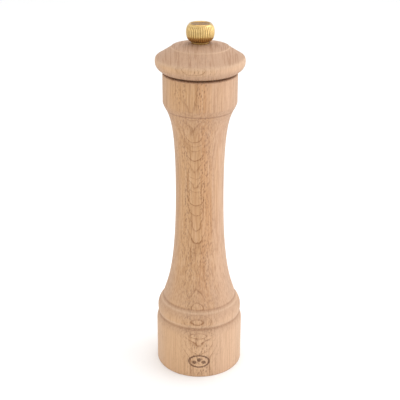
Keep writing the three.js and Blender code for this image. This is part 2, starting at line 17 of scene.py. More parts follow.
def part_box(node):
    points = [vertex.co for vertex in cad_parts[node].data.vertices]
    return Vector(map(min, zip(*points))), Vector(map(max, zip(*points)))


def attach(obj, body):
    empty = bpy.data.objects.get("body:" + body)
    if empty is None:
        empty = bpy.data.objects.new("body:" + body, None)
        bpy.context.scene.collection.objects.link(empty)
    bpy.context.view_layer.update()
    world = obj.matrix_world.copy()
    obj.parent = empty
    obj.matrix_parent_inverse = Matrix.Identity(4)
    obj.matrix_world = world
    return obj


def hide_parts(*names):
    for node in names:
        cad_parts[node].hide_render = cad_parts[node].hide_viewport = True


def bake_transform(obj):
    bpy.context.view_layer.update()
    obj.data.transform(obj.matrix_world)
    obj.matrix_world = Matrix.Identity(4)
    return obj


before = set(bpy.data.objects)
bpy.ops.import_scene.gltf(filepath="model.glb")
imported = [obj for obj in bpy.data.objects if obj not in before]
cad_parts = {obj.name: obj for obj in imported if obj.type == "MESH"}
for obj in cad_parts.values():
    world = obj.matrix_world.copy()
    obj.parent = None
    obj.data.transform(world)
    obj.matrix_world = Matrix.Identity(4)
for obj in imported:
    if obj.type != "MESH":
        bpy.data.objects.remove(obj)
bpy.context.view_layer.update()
print("nodes:", sorted(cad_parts))

# %% [markdown]
# ## Measures
# Drawings of turned work are read in millimetres, while Blender works in metres, so one factor turns
# the one into the other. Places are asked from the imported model: how far a node reaches from the
# mill's axis, and the heights of its lowest and highest points.

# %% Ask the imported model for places
MM = 0.001
WHOLE_TURN = math.tau


def reach(node):
    low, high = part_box(node)
    return max(high.x, high.y) / MM


def bottom(node):
    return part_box(node)[0].z / MM


def top(node):
    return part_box(node)[1].z / MM


def middle(node):
    low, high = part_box(node)
    return (low + high) / 2


print("barrel stands", top("barrel"), "mm tall and reaches", reach("barrel"), "mm from its axis")

# %% [markdown]
# ## The outline of a turned piece
# A wood turner works to a half section: straight runs, hollows and beads from the foot up. The same
# outline is all that a lathe, or Blender's spin operator, needs. This small class collects its points
# as radius and height; the curved stretches come from Blender's own Bezier routine.

# %% Draw outlines


class Outline:
    """The half section of a turned piece, as radius and height in millimetres."""

    def __init__(self, radius, height):
        self.points = [(radius, height)]

    def line(self, *points):
        self.points += points
        return self

    def curve(self, first, second, end, steps=12):
        """A stretch that leaves towards one handle and arrives from the other."""
        corners = [Vector((r, 0, z)) for r, z in (self.points[-1], first, second, end)]
        self.points += [(p.x, p.z) for p in interpolate_bezier(*corners, steps + 1)[1:]]
        return self

    def bow(self, pull, end, steps=8):
        """A simple bow, drawn towards one point."""
        start = self.points[-1]
        first = [a + (b - a) * 2 / 3 for a, b in zip(start, pull)]
        second = [a + (b - a) * 2 / 3 for a, b in zip(end, pull)]
        return self.curve(first, second, end, steps)


print("an outline of", len(Outline(1, 0).bow((2, 0), (2, 1)).points), "points is ready")

# %% [markdown]
# ## From an outline to a solid
# Spin sweeps the outline once round the axis. Where it starts and ends on the axis, the doubled
# points are merged into poles, and the normals are worked out afresh, because spin can turn a shape
# inside out. Sharp edges then get a narrow bevel: no real edge is perfectly sharp, and the thin
# highlight on a rounded edge is what makes a piece look solid.

# %% Turn, ease and finish a mesh


def turn(outline, sides, closed=False, angle=WHOLE_TURN):
    bm = bmesh.new()
    points = [bm.verts.new((r * MM, 0, z * MM)) for r, z in outline.points]
    pairs = list(zip(points, points[1:])) + ([(points[-1], points[0])] if closed else [])
    edges = [bm.edges.new(pair) for pair in pairs]
    bmesh.ops.spin(
        bm, geom=points + edges, cent=(0, 0, 0), axis=(0, 0, 1), angle=angle, steps=sides,
        use_merge=angle == WHOLE_TURN,
    )
    tidy(bm)
    return bm


def tidy(bm):
    """Merges doubled points, closes open ends and turns all faces outwards."""
    bmesh.ops.remove_doubles(bm, verts=bm.verts, dist=0.0008 * MM)
    open_edges = [edge for edge in bm.edges if edge.is_boundary]
    if open_edges:
        bmesh.ops.holes_fill(bm, edges=open_edges, sides=0)
    bmesh.ops.recalc_face_normals(bm, faces=bm.faces)


def sharp_edges(bm, degrees):
    limit = math.radians(degrees)
    return [e for e in bm.edges if e.is_manifold and e.calc_face_angle(0) > limit]


def ease(bm, width, segments=2, degrees=28):
    """Rounds the edges where two faces meet at more than an angle."""
    bmesh.ops.bevel(
        bm, geom=sharp_edges(bm, degrees), offset=width * MM, offset_type="OFFSET",
        segments=segments, profile=0.5, affect="EDGES", clamp_overlap=True, material=-1,
    )


def reshape(bm, rule):
    """Moves each point by a rule on its radius, angle and height, which gives the first two anew."""
    for vert in bm.verts:
        radius, angle = math.hypot(vert.co.x, vert.co.y) / MM, math.atan2(vert.co.y, vert.co.x)
        radius, angle = rule(radius, angle, vert.co.z / MM)
        vert.co.x, vert.co.y = radius * MM * math.cos(angle), radius * MM * math.sin(angle)


def make_object(bm, name, material):
    for face in bm.faces:
        face.smooth = True
    for edge in sharp_edges(bm, 32):
        edge.smooth = False
    mesh = bpy.data.meshes.new(name)
    bm.to_mesh(mesh)
    bm.free()
    mesh.materials.append(material)
    piece = bpy.data.objects.new(name, mesh)
    bpy.context.scene.collection.objects.link(piece)
    return piece


def fit(bm, name, material, body, node):
    """Makes a finished mesh into a piece that rides on a body and stands for a node."""
    piece = make_object(bm, name, material)
    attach(piece, body)
    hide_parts(node)
    print(name, "has", len(piece.data.polygons), "faces")
    return piece


# %% [markdown]
# ## The camera
# The camera stands a little above the mill's top and looks down on it at about 24 degrees, from half
# a metre away. That is close, so the barrel narrows visibly towards the table. A very slight roll
# lets the mill lean to the right by a quarter of a degree.

# %% Place the camera
CAMERA_PLACE = (0, -491.7 * MM, 328.0 * MM)
CAMERA_TILT = math.radians(66.16)
CAMERA_ROLL = math.radians(0.24)

camera_data = bpy.data.cameras.new("camera")
camera_data.sensor_width = 36
camera_data.lens = 78.8
camera_data.shift_x = 0.0009
camera_data.shift_y = 0.00125
camera = bpy.data.objects.new("camera", camera_data)
camera.matrix_world = (
    Matrix.Translation(CAMERA_PLACE)
    @ Matrix.Rotation(CAMERA_TILT, 4, "X")
    @ Matrix.Rotation(CAMERA_ROLL, 4, "Z")
)
bpy.context.scene.collection.objects.link(camera)
bpy.context.scene.camera = camera
print("camera at", tuple(round(c, 3) for c in camera.location), "m")

# %% [markdown]
# ## The light and the floor
# The mill stands on a white sheet in an even white surround, with a large soft lamp at its right, a
# smaller one at its left and one high up behind it. The right side of the barrel is therefore
# lighter than the left. Plain display colours keep the white floor white.

# %% Set up the studio
SURROUND = 1.02
LAMPS = [
    ("lamp_right", (0.74, 0.02, 0.44), 0.90, 3.3),
    ("lamp_left", (-0.55, -0.35, 0.40), 0.30, 0.35),
    ("lamp_top", (0.05, 0.28, 0.90), 0.50, 1.2),
]

world = bpy.data.worlds.new("surround")
world.use_nodes = True
world.node_tree.nodes["Background"].inputs["Color"].default_value = (1, 1, 1, 1)
world.node_tree.nodes["Background"].inputs["Strength"].default_value = SURROUND
bpy.context.scene.world = world
bpy.context.scene.view_settings.view_transform = "Standard"

LAMP_AIM = Vector((0, 0, 0.11))
for name, place, size, power in LAMPS:
    lamp_data = bpy.data.lights.new(name, "AREA")
    lamp_data.size = size
    lamp_data.energy = power
    lamp = bpy.data.objects.new(name, lamp_data)
    lamp.location = place
    lamp.rotation_euler = (LAMP_AIM - Vector(place)).to_track_quat("-Z", "Y").to_euler()
    bpy.context.scene.collection.objects.link(lamp)
    print(name, "gives", power, "W")

# %% [markdown]
# ## Writing materials as sums
# A node tree for wood has dozens of Math nodes. Written out one by one they hide the idea, so one
# small class wraps a number in the tree: plus, minus, times and divide on it add the Math node. A
# second class holds the material and has one method for every other kind of node.

# %% Helpers for materials


class Wire:
    """A number in a material's tree. Arithmetic on it adds Math nodes."""

    def __init__(self, finish, socket):
        self.finish = finish
        self.socket = socket

    def __add__(self, other):
        return self.finish.math("ADD", self, other)

    def __sub__(self, other):
        return self.finish.math("SUBTRACT", self, other)

    def __rsub__(self, other):
        return self.finish.math("SUBTRACT", other, self)

    def __mul__(self, other):
        return self.finish.math("MULTIPLY", self, other)

    def __truediv__(self, other):
        return self.finish.math("DIVIDE", self, other)

    __radd__ = __add__
    __rmul__ = __mul__


class Finish:
    """One material and its tree."""

    def __init__(self, name):
        self.material = bpy.data.materials.new(name)
        self.material.use_nodes = True
        self.tree = self.material.node_tree
        self.tree.nodes.clear()
        self.place = self.node("ShaderNodeTexCoord").outputs["Object"]
        self.mm = self.node(
            "ShaderNodeVectorMath", {"operation": "SCALE"}, {0: self.place, "Scale": 1 / MM}
        ).outputs[0]
        split = self.node("ShaderNodeSeparateXYZ", {}, {0: self.mm})
        self.x, self.y, self.z = (Wire(self, socket) for socket in split.outputs)

    def node(self, kind, settings=None, sockets=None):
        """Adds a node: its settings first, then the values or links of its sockets."""
        node = self.tree.nodes.new(kind)
        for name, value in (settings or {}).items():
            setattr(node, name, value)
        for name, value in (sockets or {}).items():
            source = value.socket if isinstance(value, Wire) else value
            if isinstance(source, bpy.types.NodeSocket):
                self.tree.links.new(source, node.inputs[name])
            else:
                node.inputs[name].default_value = source
        return node

    def math(self, operation, *values):
        settings = {"operation": operation}
        return Wire(self, self.node("ShaderNodeMath", settings, dict(enumerate(values))).outputs[0])

    def between(self, value, low, high):
        """0 up to low, 1 from high on, and a smooth rise between."""
        sockets = {"Value": value, "From Min": low, "From Max": high}
        node = self.node("ShaderNodeMapRange", {"interpolation_type": "SMOOTHSTEP"}, sockets)
        return Wire(self, node.outputs[0])

    def hump(self, value, centre, half_width):
        """A smooth bell of height 1 round a centre."""
        away = (value - centre) / half_width
        return self.math("EXPONENT", away * away * -1)

    def vector(self, x, y, z):
        return self.node("ShaderNodeCombineXYZ", {}, {0: x, 1: y, 2: z}).outputs[0]

    def noise(self, vector, scale=1.0, detail=2.0, roughness=0.5):
        sockets = {"Vector": vector, "Scale": scale, "Detail": detail, "Roughness": roughness}
        return Wire(self, self.node("ShaderNodeTexNoise", {}, sockets).outputs[0])

    def chance(self, value):
        """A fixed random number for each whole number."""
        node = self.node("ShaderNodeTexWhiteNoise", {"noise_dimensions": "1D"}, {"W": value})
        return Wire(self, node.outputs[0])

    def mix(self, share, first, second):
        sockets = {0: share, 6: first, 7: second}
        return self.node("ShaderNodeMix", {"data_type": "RGBA"}, sockets).outputs[2]

    def bump(self, height, distance):
        """Raises the surface by height times a distance in millimetres."""
        sockets = {"Height": height, "Distance": distance * MM}
        return self.node("ShaderNodeBump", {}, sockets).outputs[0]

    def surface(self, clear_from_behind=False, **sockets):
        """Ends the tree in a Principled shader and gives back the material."""
        named = {
            name.replace("_", " ").title().replace("Ior", "IOR"): value
            for name, value in sockets.items()
        }
        shader = self.node("ShaderNodeBsdfPrincipled", {}, named)
        if clear_from_behind:
            behind = self.node("ShaderNodeNewGeometry").outputs["Backfacing"]
            clear = self.node("ShaderNodeBsdfTransparent")
            sockets = {0: behind, 1: shader.outputs[0], 2: clear.outputs[0]}
            shader = self.node("ShaderNodeMixShader", {}, sockets)
        self.node("ShaderNodeOutputMaterial", {}, {0: shader.outputs[0]})
        return self.material


def rgb(red, green, blue):
    """A colour given as the 0 to 255 numbers of a colour picker, made linear for a shader."""
    parts = [c / 255 for c in (red, green, blue)]
    return (*[p / 12.92 if p <= 0.04045 else ((p + 0.055) / 1.055) ** 2.4 for p in parts], 1.0)


print("mid grey in a shader is", round(rgb(128, 128, 128)[0], 3))

# %% [markdown]
# ## Beech
# Wood is a solid pattern, not a picture on a surface. The tree's rings are great cylinders about its
# pith, which stood well behind this mill, and the lathe cut through them. Where the outline swells
# or narrows, the rings show as nested arches and ovals, just as on the real thing, so the material
# works out the distance from the pith and lets the shape do the rest. The pith's line and the line
# up the middle of the front are each given as a place at the foot and a drift per millimetre of
# height. On its way up the grain also leans in and out: a sweep names the heights where it starts
# and ends and how many millimetres it moves the rings. Beech also has rays: thin sheets that run
# outwards from the pith and show on the front as short brown dashes and on the sides as silky streaks.
# The sides, where the face is quarter-sawn, are made paler and greyer: partly that face's own tone,
# partly a painted sheen.

# %% The beech material
PITH_BEHIND = 58.0
PITH_SHIFT = (-2.1, 0.103)
FRONT_LINE = (0.8, -0.029)
RING_PITCH = 0.80
GRAIN_SWEEPS = [
    (12, 25, 1.3),
    (25, 31, 1.2),
    (32, 64, 3.7),
    (50, 86, 3.2),
    (80, 84, 0.9),
    (83, 92, 1.0),
    (91, 100, 1.0),
    (102, 111, 1.0),
    (111, 117, 0.85),
    (118, 122, -0.4),
    (120, 126, 1.3),
    (127, 135, 1.3),
    (138, 146, 0.7),
    (147, 156, 1.1),
    (156, 172, -2.6),
]
RAY_CELLS = [(1.15, 4.4, 0.20), (0.85, 3.0, 0.15)]

BEECH_TAN = rgb(196, 153, 110)
BEECH_PINK = rgb(203, 164, 134)
BEECH_WARM = rgb(200, 146, 98)
BEECH_QUARTERSAWN_SHEEN = rgb(186, 157, 134)
BEECH_RING = rgb(132, 86, 48)
BEECH_RAY = rgb(108, 68, 40)
BEECH_PALE = rgb(216, 182, 150)
BEECH_PAINTED_SHADE = rgb(128, 87, 56)
BEECH_PAINTED_HIGHLIGHT = rgb(222, 192, 162)
BEECH_END = rgb(178, 145, 121)
BURNT = rgb(84, 50, 32)


def beech(name, shade_and_highlight_lines, shift=0.0, across=0.0, mark=None):
    wood = Finish(name)
    height = wood.z + shift
    side = wood.x - (height * PITH_SHIFT[1] + PITH_SHIFT[0] - across * 2)
    off_front = wood.math("ABSOLUTE", wood.x - (height * FRONT_LINE[1] + FRONT_LINE[0] + across))
    depth = PITH_BEHIND - wood.y
    from_pith = wood.math("SQRT", side * side + depth * depth)
    round_pith = wood.math("ARCTAN2", side, depth) * PITH_BEHIND

    lean = 0
    for low, high, rise in GRAIN_SWEEPS:
        lean = wood.between(height, low, high) * rise + lean
    slow = wood.vector(side * 0.09, depth * 0.09, height * 0.035)
    quick = wood.vector(side * 0.4, depth * 0.3, height * 0.16)
    wander = (wood.noise(slow) - 0.5) * 0.7 + (wood.noise(quick, detail=3) - 0.5) * 0.22
    rings = (from_pith + lean + wander) / RING_PITCH
    ring_number = wood.math("FLOOR", rings)
    ring_share = wood.math("FRACT", rings)
    late = wood.between(ring_share, 0.30, 0.93) * 0.20 + wood.between(ring_share, 0.78, 0.93) * 0.80
    late = late * (1 - wood.between(ring_share, 0.95, 1.0))
    chance = wood.chance(ring_number)
    spread = 1.7 - wood.between(height, 30, 60) * 0.7
    at_front = 1 - wood.between(off_front / spread, 2.5, 8.0) * 0.8
    strength = (0.50 + chance * 0.50) * at_front
    broken = wood.between(wood.noise(wood.vector(side * 1.3, depth * 0.6, height * 0.45)), 0.3, 0.62)
    ring_line = late * strength * (0.30 + broken * 0.70)

    flecks = None
    for cell_width, cell_height, size in RAY_CELLS:
        cells = wood.vector(round_pith / cell_width, height / cell_height, 0)
        sockets = {"Vector": cells, "Scale": 1.0}
        cell = wood.node("ShaderNodeTexVoronoi", {"voronoi_dimensions": "2D"}, sockets)
        near = 1 - wood.between(Wire(wood, cell.outputs["Distance"]), size * 0.5, size * 1.5)
        flecks = near if flecks is None else wood.math("MAXIMUM", flecks, near)
    patches = wood.between(wood.noise(wood.vector(side * 0.2, depth * 0.2, height * 0.05)), 0.38, 0.6)
    toward_front = 1 - wood.between(off_front, 5, 14) * 0.8
    arched = wood.between(height, 78, 96) * (1 - wood.between(off_front, 1.5, 4.0))
    flecks = flecks * (0.35 + patches * 0.65) * toward_front * (1 - arched * 0.75)

    fibre = wood.noise(wood.vector(wood.x * 1.5, wood.y * 1.5, height * 0.035), detail=4, roughness=0.6)
    streak = wood.noise(wood.vector(wood.x * 0.35, wood.y * 0.35, height * 0.012), detail=2)
    pores = wood.noise(wood.vector(wood.x * 5, wood.y * 5, height * 0.5), detail=2)
    normal = wood.node("ShaderNodeNewGeometry").outputs["Normal"]
    facing = wood.node("ShaderNodeSeparateXYZ", {}, {0: normal})
    end_grain = wood.math("ABSOLUTE", Wire(wood, facing.outputs[2]))

    pinker = wood.between(wood.x + (streak - 0.5) * 20, -6, 15)
    colour = wood.mix(pinker, BEECH_TAN, BEECH_PINK)
    out = wood.math("SQRT", wood.x * wood.x + wood.y * wood.y)
    quartered = wood.between(wood.math("ABSOLUTE", wood.x) / out, 0.70, 0.99)
    # Paler, greyer sides: partly the quarter-sawn face's own tone, partly a painted sheen.
    colour = wood.mix(quartered * 0.6, colour, BEECH_QUARTERSAWN_SHEEN)
    warm = wood.hump(wood.x + (streak - 0.5) * 12, 3.0, 4.0) * wood.between(height, 20, 60)
    colour = wood.mix(warm * 0.50, colour, BEECH_WARM)
    colour = wood.mix(wood.between(fibre, 0.42, 0.75) * 0.50, colour, BEECH_PALE)
    colour = wood.mix(wood.between(1 - fibre, 0.44, 0.72) * 0.38, colour, BEECH_RING)
    seams = wood.noise(wood.vector(wood.x * 0.9, wood.y * 0.3, height * 0.05), detail=3)
    colour = wood.mix((1 - wood.between(height, 22, 70)) * 0.34, colour, BEECH_PALE)
    colour = wood.mix(wood.between(seams, 0.52, 0.68) * at_front * 0.36, colour, BEECH_RING)
    colour = wood.mix(ring_line * 0.95, colour, BEECH_RING)
    colour = wood.mix(flecks * 0.54, colour, BEECH_RAY)
    slanting = wood.vector(side * 1.3 + height * 0.26, depth * 0.06, height * 0.06)
    sheets = wood.noise(slanting, detail=4, roughness=0.6)
    colour = wood.mix(end_grain * 0.85, colour, BEECH_END)
    # Upward faces are painted darker away from the front line: painted shade on the head's slopes.
    colour = wood.mix(end_grain * wood.between(off_front, 8, 24) * 0.16, colour, BEECH_PAINTED_SHADE)
    colour = wood.mix(end_grain * wood.between(sheets, 0.50, 0.64) * 0.46, colour, BEECH_RING)

    worn = pores * 0.10 + fibre * 0.12
    # Thin lines of painted shade in creases, at the foot and under the head, and of painted highlight on
    # edges that face the light.
    for line_height, half_width, share, tint in shade_and_highlight_lines:
        painted_line = wood.hump(wood.z, line_height, half_width) * share
        colour = wood.mix(painted_line * (0.55 + broken * 0.45), colour, tint)
    relief = ring_line * -0.35 + flecks * -0.6 + fibre * 0.5 + pores * 0.35
    if mark is not None:
        burn = mark(wood) * (0.62 + broken * 0.38)
        colour = wood.mix(burn * 0.86, colour, BURNT)
        relief = relief - burn * 2.2
    return wood.surface(
        base_color=colour,
        roughness=0.56 + worn - flecks * 0.1,
        ior=1.45,
        specular_ior_level=0.36,
        normal=wood.bump(relief, 0.09),
    )


# %% [markdown]
# ## The burnt mark
# Such mills carry a small mark, burnt in with a hot stamp near the foot. This one is a plain device:
# an oval ring round three peppercorns. It is a mask made from distances, measured round the
# barrel and up it, so it needs no picture.

# %% The mark's mask
MARK_HEIGHT = 11.6
MARK_HALF_WIDTH = 6.4
MARK_HALF_HEIGHT = 4.2
MARK_LINE = 0.28
PEPPERCORNS = [(-2.9, -0.7, 1.25), (0.1, 1.1, 1.35), (3.0, -0.6, 1.2)]


def burnt_mark(wood):
    across = wood.math("ARCTAN2", wood.x, wood.y * -1) * reach("barrel")
    up = wood.z - MARK_HEIGHT
    flat_across, flat_up = across / MARK_HALF_WIDTH, up / MARK_HALF_HEIGHT
    oval = wood.math("SQRT", flat_across * flat_across + flat_up * flat_up)
    off_line = wood.math("ABSOLUTE", (oval - 1) * MARK_HALF_HEIGHT)
    mask = 1 - wood.between(off_line, MARK_LINE, MARK_LINE + 0.3)
    for corn_across, corn_up, radius in PEPPERCORNS:
        right, above = across - corn_across, up - corn_up
        away = wood.math("SQRT", right * right + above * above)
        mask = wood.math("MAXIMUM", mask, 1 - wood.between(away, radius - 0.15, radius + 0.2))
    return mask


# %% [markdown]
# ## The barrel
# The barrel is one turned piece: a straight base, a rounded shoulder, a groove and a bead, then a
# long waisted neck that opens into the collar and the plain band below the head. Inside are a wide
# recess for the grinding mechanism, the bore that holds the peppercorns, and the bore for the head's
# tenon. Inside and outside make one closed outline, so a single turn gives the wall its thickness.

# %% Turn the barrel
SEAT = 0.05
PASS = 0.3
BASE_STRAIGHT = 28.9
GROOVE = (25.5, 34.4)
BEAD = (26.4, 38.4)
NECK_FOOT = (22.75, 46.2)
WAIST = (14.6, 120.0)
NECK_TOP = (20.0, 170.25)
COLLAR = (20.35, 170.6)
BAND = (21.9, 174.3)
CHAMBER_RADIUS = 10.5
CHAMBER_FOOT = top("bearing_bridge") + 2.6
MECHANISM_RADIUS = 18.18
TENON_RADIUS = 15.0
TENON_BORE_FOOT = bottom("head") - 4.6

barrel_top = top("barrel")
base_radius = reach("barrel")
plate_seat = bottom("grinding_ring")
recess_radius = reach("base_plate") + PASS

barrel_line = Outline(base_radius - 0.35, 0).bow((base_radius, 0), (base_radius, 0.35), 4)
barrel_line.line(*[(base_radius, BASE_STRAIGHT * n / 4) for n in range(1, 5)])
barrel_line.bow((base_radius, GROOVE[1] - 3), GROOVE, 9)
barrel_line.bow((BEAD[0], GROOVE[1] + 1), BEAD, 8)
barrel_line.bow((BEAD[0], BEAD[1] + 4), NECK_FOOT, 10)
barrel_line.curve((22.25, NECK_FOOT[1] + 6.8), (WAIST[0], NECK_FOOT[1] + 12.24), WAIST, 26)
barrel_line.curve((WAIST[0], 160.2), (17.8, NECK_TOP[1] - 5.5), NECK_TOP, 22)
barrel_line.line(COLLAR).bow((BAND[0] - 0.4, BAND[1] - 1.6), BAND, 6)
barrel_line.line((BAND[0], barrel_top - 0.5), (BAND[0] - 0.5, barrel_top))
barrel_line.line((TENON_RADIUS + PASS, barrel_top), (TENON_RADIUS + PASS, TENON_BORE_FOOT))
barrel_line.line((CHAMBER_RADIUS, TENON_BORE_FOOT), (CHAMBER_RADIUS, CHAMBER_FOOT))
barrel_line.line((MECHANISM_RADIUS, CHAMBER_FOOT), (MECHANISM_RADIUS, plate_seat))
barrel_line.line((recess_radius, plate_seat), (recess_radius, 0))

beech_barrel = beech(
    "beech_barrel",
    # Painted shade in the groove, at the neck's foot, under the collar and along the foot's edge; painted
    # highlights on the bead.
    shade_and_highlight_lines=[
        (GROOVE[1] - 0.2, 0.9, 0.40, BEECH_PAINTED_SHADE),
        (GROOVE[1] + 1.9, 0.7, 0.26, BEECH_PAINTED_HIGHLIGHT),
        (NECK_FOOT[1] + 0.1, 0.6, 0.42, BEECH_PAINTED_SHADE),
        (NECK_FOOT[1] - 1.6, 0.6, 0.34, BEECH_PAINTED_HIGHLIGHT),
        (COLLAR[1] - 0.3, 0.40, 0.62, BEECH_PAINTED_SHADE),
        (0, 0.5, 0.3, BEECH_PAINTED_SHADE),
    ],
    mark=burnt_mark,
)
barrel_mesh = turn(barrel_line, 180, closed=True)
ease(barrel_mesh, 0.18, segments=2, degrees=34)
fit(barrel_mesh, "turned_barrel", beech_barrel, "barrel", "barrel")

# %% [markdown]
# ## The head
# The head is a broad flat cap with a thick round rim, a long slope up to a small ridge, and a nearly
# flat cone on which the knob sits. Below, a shoulder rests on the barrel and a tenon reaches into it.
# It was cut from another stretch of the same blank, so its pattern is the barrel's, moved along.

# %% Turn the head
SPINDLE_BORE = 3.84
HEAD_SHOULDER = 18.5
HEAD_FOOT = (22.6, 192.95)
HEAD_UNDERCUT = (24.6, 194.58)
HEAD_RIM = 198.7
HEAD_RIDGE = (16.8, 206.4)
HEAD_CONE = (11, 207.75)
KNOB_SEAT_RADIUS = 5.6
HEAD_GRAIN_SHIFT = -180.0

head_radius = reach("head")
head_top = top("head")
tenon_foot = bottom("head")
head_seat = barrel_top + SEAT

head_line = Outline(SPINDLE_BORE, tenon_foot).line((TENON_RADIUS - 0.4, tenon_foot))
head_line.line((TENON_RADIUS, tenon_foot + 0.4), (TENON_RADIUS, head_seat), (HEAD_SHOULDER, head_seat))
head_line.line((HEAD_SHOULDER, barrel_top + 1.05), HEAD_FOOT, HEAD_UNDERCUT)
head_line.curve((25.9, HEAD_UNDERCUT[1] + 1.5), (head_radius, HEAD_RIM - 1.6), (head_radius, HEAD_RIM), 8)
head_line.curve((head_radius, HEAD_RIM + 2.6), (24.9, HEAD_RIM + 2.4), (23.5, HEAD_RIM + 3.4), 10)
head_line.bow((20.1, HEAD_RIM + 5.5), HEAD_RIDGE, 10)
head_line.line((HEAD_RIDGE[0] - 0.2, HEAD_RIDGE[1] + 0.4), HEAD_CONE)
head_line.line((KNOB_SEAT_RADIUS, head_top), (SPINDLE_BORE, head_top))

beech_head = beech(
    "beech_head",
    # Painted shade under the head's foot; painted highlights along the ridge and the rim.
    shade_and_highlight_lines=[
        (HEAD_FOOT[1] - 0.2, 0.5, 0.5, BEECH_PAINTED_SHADE),
        (HEAD_RIDGE[1] + 0.15, 0.30, 0.30, BEECH_PAINTED_HIGHLIGHT),
        (HEAD_RIM + 1.6, 0.9, 0.30, BEECH_PAINTED_HIGHLIGHT),
    ],
    shift=HEAD_GRAIN_SHIFT,
    across=-3.9,
)
head_mesh = turn(head_line, 180, closed=True)
ease(head_mesh, 0.16, segments=2, degrees=30)
fit(head_mesh, "turned_head", beech_head, "head", "head")

# %% [markdown]
# ## Brass
# The knob is solid brass, left bare. Handling keeps the tips of its flutes bright while the valleys
# go brown. The lower body is painted warmer as a painted reflection of the wood, and the top band and
# the foot, where it sits on the head, are painted darker as painted shade. The same wave that will cut
# the flutes tells the material where the valleys are, and rings about the axis give the turned face its
# fine tool marks.

# %% The brass material
FLUTES = 38
FLUTE_DEPTH = 0.28
POINTS_PER_FLUTE = 8
KNOB_BELLY = 5.9
knob_foot = bottom("knob")
knob_top = top("knob")
flute_low = knob_foot + 1.0
flute_high = knob_top - 0.8

BRASS_BRIGHT = (0.78, 0.55, 0.24, 1)
BRASS_WARM = (0.52, 0.32, 0.10, 1)
BRASS_BROWN = (0.17, 0.09, 0.022, 1)
BRASS_DULL = rgb(116, 80, 42)

brass = Finish("brass")
angle = brass.math("ARCTAN2", brass.y, brass.x)
wave = brass.math("ABSOLUTE", brass.math("COSINE", angle * (FLUTES / 2)))
fluted = brass.between(brass.z, flute_low - 0.3, flute_low + 0.4) * (
    1 - brass.between(brass.z, flute_high - 0.4, flute_high + 0.1)
)
valley = (1 - wave) * fluted
radius = brass.math("SQRT", brass.x * brass.x + brass.y * brass.y)
clouds = brass.noise(brass.mm, scale=0.55, detail=4)
turned_marks = brass.noise(brass.vector(radius * 7, brass.z * 4, 0), detail=2)
scratches = brass.noise(brass.vector(brass.x * 3, brass.y * 3, brass.z * 0.8), detail=5, roughness=0.7)
foot_painted_shade = 1 - brass.between(brass.z, knob_foot, knob_foot + 2.6)
painted_wood_reflection = 1 - brass.between(brass.z, knob_foot + 3, knob_foot + 7.5)
brass_colour = brass.mix(brass.between(clouds, 0.35, 0.7) * 0.40, BRASS_BRIGHT, BRASS_WARM)
# The lower body is painted warmer and darker: a painted reflection of the wood below.
brass_colour = brass.mix(painted_wood_reflection * 0.7, brass_colour, BRASS_WARM)
brass_colour = brass.mix(brass.between(valley, 0.15, 0.75) * 0.7, brass_colour, BRASS_BROWN)
# The foot is painted brown where it sits on the head: painted shade.
brass_colour = brass.mix(foot_painted_shade * 0.6, brass_colour, BRASS_BROWN)
dish = (1 - brass.between(radius, 5.0, 5.9)) * brass.between(brass.z, knob_top - 0.9, knob_top - 0.7)
rim = brass.between(brass.z, knob_top - 0.5, knob_top - 0.1)
# The smooth top band is painted warmer and darker: painted shade.
brass_colour = brass.mix(rim * 0.6, brass_colour, BRASS_WARM)
brass_colour = brass.mix(dish * (0.5 + turned_marks * 0.7), brass_colour, BRASS_DULL)
brass_finish = brass.surface(
    base_color=brass_colour,
    metallic=1 - dish * 0.7,
    roughness=0.22 + brass.between(scratches, 0.4, 0.8) * 0.14 + valley * 0.15 + dish * 0.2,
    normal=brass.bump(turned_marks * 0.5 + scratches * 0.2, 0.003),
)
print("brass is mixed, with", FLUTES, "flutes in mind")

# %% [markdown]
# ## The knob
# The knob is turned to a squat ball with a narrow foot, a smooth band round its top and a dished
# face, and then fluted. Flutes are a wave in the radius: after the spin, each point on the outside
# moves in by an amount that depends on its angle and fades out at both ends.

# %% Turn and flute the knob
KNOB_FOOT_RADIUS = 5.3
THREAD_HOLE = 2.55
THREAD_HOLE_TOP = knob_top - 2.6

knob_radius = 8.15
knob_line = Outline(0, THREAD_HOLE_TOP).line((THREAD_HOLE, THREAD_HOLE_TOP), (THREAD_HOLE, knob_foot))
knob_line.line((KNOB_FOOT_RADIUS, knob_foot), (KNOB_FOOT_RADIUS, knob_foot + 0.8))
knob_belly = (knob_radius, knob_foot + KNOB_BELLY)
knob_line.curve((7.85, knob_foot + 1.6), (knob_radius, knob_foot + 4.7), knob_belly, 22)
knob_line.curve((knob_radius, knob_foot + 8.3), (7.75, knob_top - 1.6), (6.45, knob_top - 0.15), 20)
knob_line.line((6.1, knob_top), (5.6, knob_top - 0.12), (5.2, knob_top - 0.45), (3.9, knob_top - 0.5))
knob_line.line((3.6, knob_top - 0.32), (3.3, knob_top - 0.5), (1.5, knob_top - 0.56), (1.2, knob_top - 0.40))
knob_line.line((0.9, knob_top - 0.56), (0, knob_top - 0.62))


def flute(radius, angle, height):
    if radius < 4 or height > flute_high + 0.2:
        return radius, angle
    rise = min(1, max(0, (height - flute_low) / 0.5))
    fall = min(1, max(0, (flute_high - height) / 0.4))
    return radius - FLUTE_DEPTH * rise * fall * (1 - abs(math.cos(angle * FLUTES / 2))), angle


knob_mesh = turn(knob_line, FLUTES * POINTS_PER_FLUTE)
reshape(knob_mesh, flute)
fit(knob_mesh, "fluted_knob", brass_finish, "knob", "knob")

# %% [markdown]
# ## Steel in five finishes
# The mechanism uses drawn and pressed bright steel, hardened steel for the two cutters, spring wire,
# and zinc-plated screws. One recipe serves them all: a base tint, clouds of slight staining, and a
# brushed direction, along the piece for a bar and round the axis for a pressed or turned part.

# %% The steel materials


